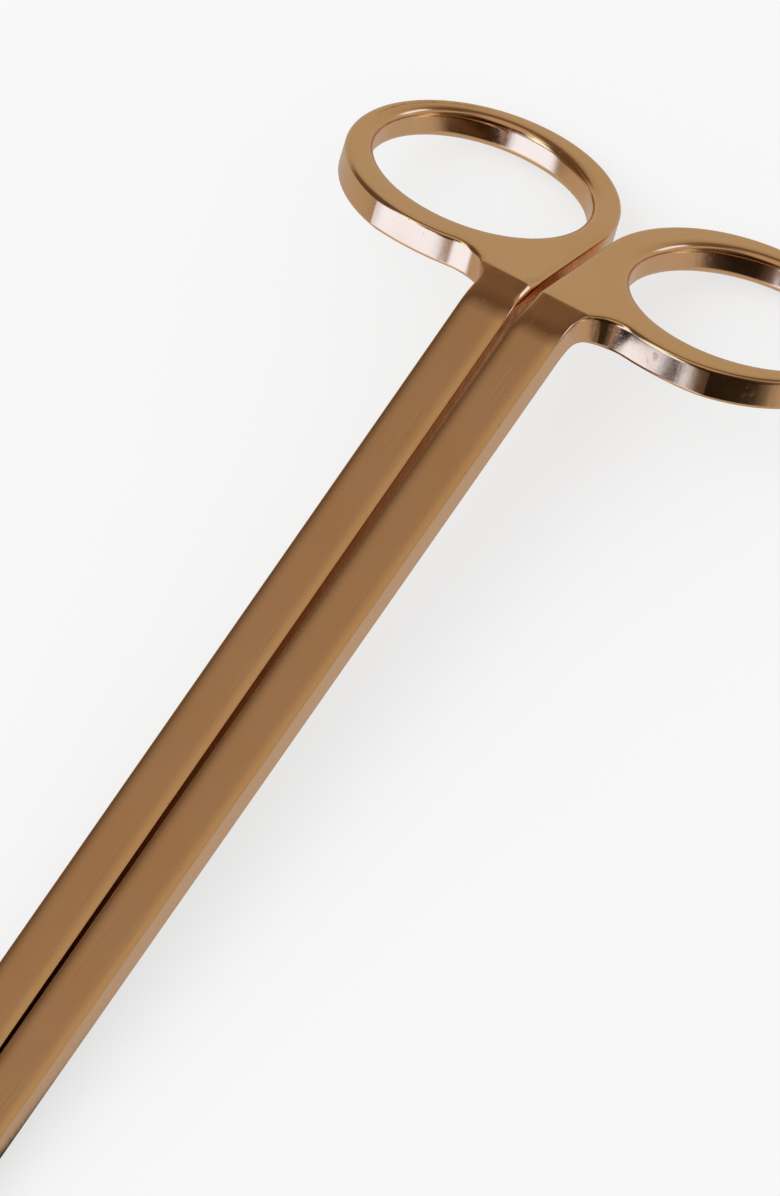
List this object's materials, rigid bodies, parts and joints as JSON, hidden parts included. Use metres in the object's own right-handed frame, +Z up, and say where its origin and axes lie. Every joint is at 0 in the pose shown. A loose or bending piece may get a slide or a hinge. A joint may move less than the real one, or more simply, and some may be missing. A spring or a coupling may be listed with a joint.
{
  "type": "wick trimmer",
  "caption": "Long-handled candle wick trimmer with finger rings, a raised cutting head, crossing blades and a debris tray.",
  "frame": {"origin": "middle of the footprint, on the table that the trimmer lies on", "axes": "+Y from the blades to the finger rings, +X towards the thumb lever's ring, +Z up"},
  "size_m": [0.0576, 0.1808, 0.0217],
  "materials": {
    "rose_gold": "polished rose-gold plating over steel",
    "blade_metal": "rose-gold plated blade, ground along the edge",
    "fastener_metal": "rose-gold plated screw and rivets"
  },
  "bodies": {
    "finger_lever": {"left_arm": "rose_gold", "left_finger_ring": "rose_gold", "lower_blade": "blade_metal", "debris_tray": "rose_gold", "tray_rivet_1": "fastener_metal", "tray_rivet_2": "fastener_metal", "pivot_screw": "fastener_metal", "pivot_washer": "fastener_metal", "pivot_nut": "fastener_metal"},
    "thumb_lever": {"right_arm": "rose_gold", "right_finger_ring": "rose_gold", "upper_blade": "blade_metal"}
  },
  "joints": [
    {"name": "lever_pivot", "type": "hinge", "parent": "finger_lever", "child": "thumb_lever", "pos_m": [0, -0.0679, 0.00907], "axis": [0, -0.6166, -0.7873], "range_deg": [0, 30]}
  ]
}
